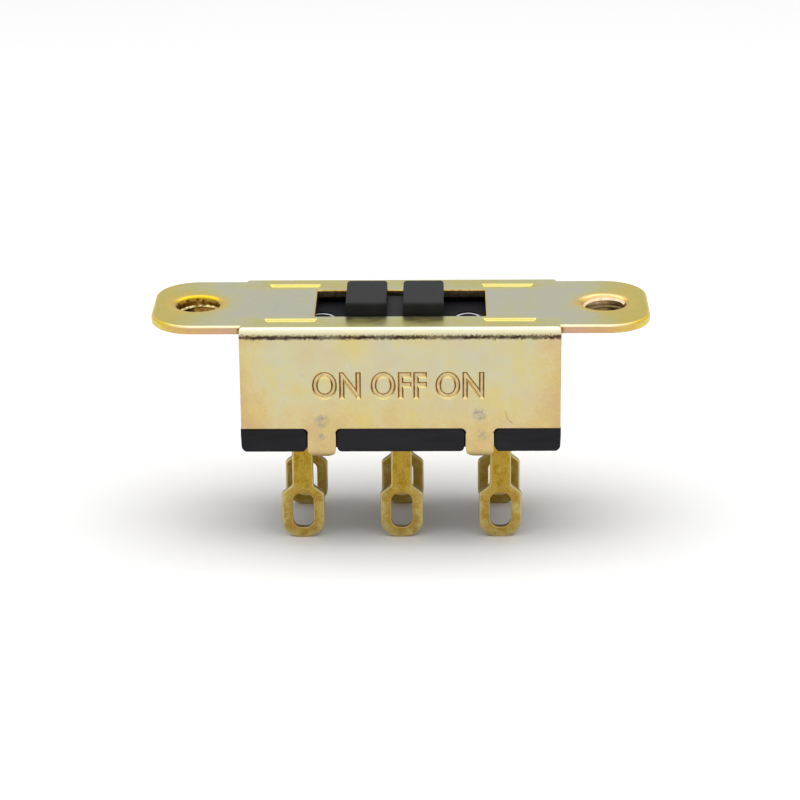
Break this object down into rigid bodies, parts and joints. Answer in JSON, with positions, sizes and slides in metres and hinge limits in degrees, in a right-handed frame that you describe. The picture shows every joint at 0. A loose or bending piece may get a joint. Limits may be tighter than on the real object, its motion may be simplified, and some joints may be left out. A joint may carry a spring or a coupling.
{
  "type": "slide switch",
  "caption": "Panel-mount slide switch: folded steel frame with tapped ears, black moulded base, low twin-lump slider knob in a slot, and brass solder lugs in rows below.",
  "frame": {"origin": "midway between the two screw holes, on the top face of the mounting plate", "axes": "+Z out of the panel, +X along the plate in the slider's travel, +Y across the plate"},
  "size_m": [0.0348, 0.0114, 0.0175],
  "materials": {
    "plated_steel": "yellow-passivated zinc plate, semi-gloss",
    "black_base": "satin black moulding",
    "black_slider": "matte charcoal moulding",
    "terminal_brass": "dull raw brass",
    "contact_bronze": "rolled phosphor bronze",
    "spring_steel": "drawn spring wire"
  },
  "bodies": {
    "housing": {"frame": "plated_steel", "base": "black_base", "terminal_front_left": "terminal_brass", "terminal_front_middle": "terminal_brass", "terminal_front_right": "terminal_brass", "terminal_rear_left": "terminal_brass", "terminal_rear_middle": "terminal_brass", "terminal_rear_right": "terminal_brass"},
    "slider": {"slider": "black_slider", "contact_front": "contact_bronze", "contact_rear": "contact_bronze", "spring_front": "spring_steel", "spring_rear": "spring_steel"}
  },
  "joints": [
    {"name": "knob_slide", "type": "slide", "parent": "housing", "child": "slider", "axis": [1, 0, 0], "range_m": [-0.0021, 0.0029]}
  ]
}
